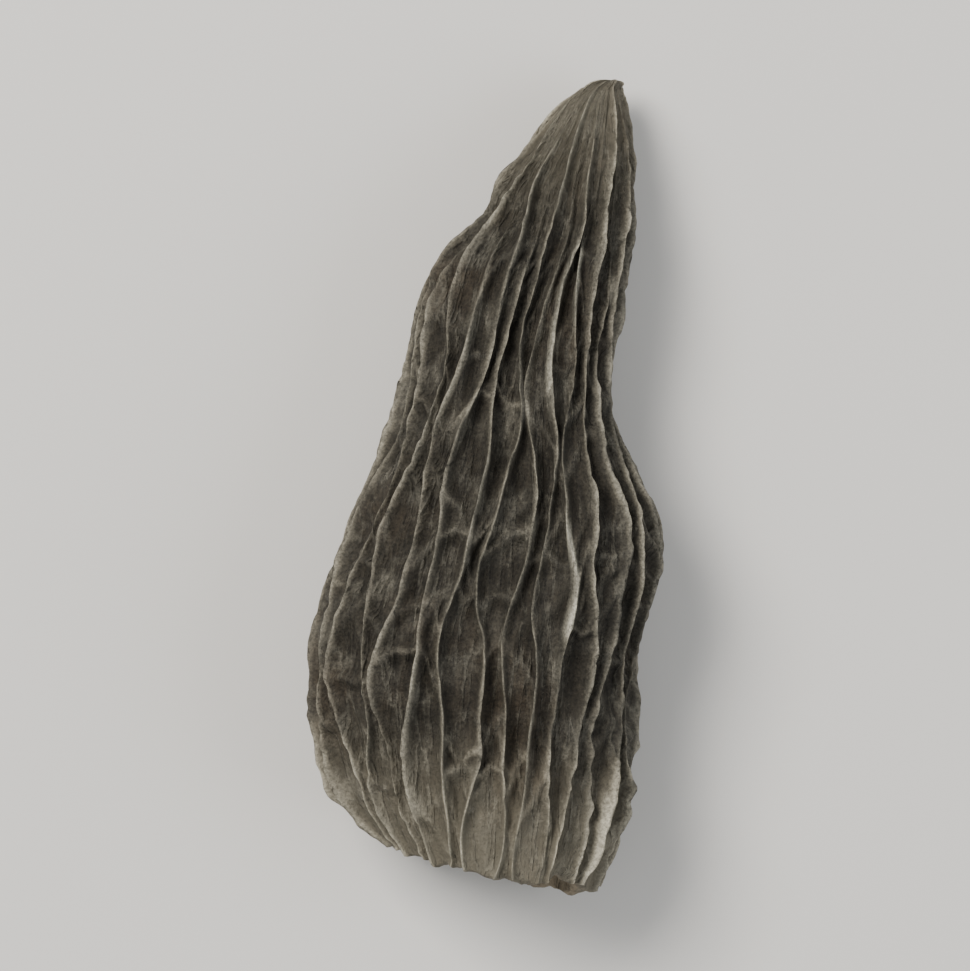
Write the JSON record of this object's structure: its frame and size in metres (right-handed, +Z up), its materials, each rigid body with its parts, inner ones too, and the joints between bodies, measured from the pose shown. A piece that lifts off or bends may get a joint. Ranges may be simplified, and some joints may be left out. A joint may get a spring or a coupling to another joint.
{
  "type": "dried morel mushroom",
  "caption": "Dried conical morel cap with lengthwise ribs, a raised net round long pits, and a hollow inside open at the cut base.",
  "frame": {"origin": "on the surface that the cap lies on, under the middle of its box", "axes": "+Y from the cut base towards the tip, +Z up from the resting side, +X to the right of the tip seen from above"},
  "size_m": [0.0156, 0.0352, 0.0095],
  "materials": {
    "morel_flesh": "matte and leathery, pale grey along the ribs and near black in the pits"
  },
  "bodies": {
    "root": {"morel_cap": "morel_flesh"}
  },
  "joints": []
}
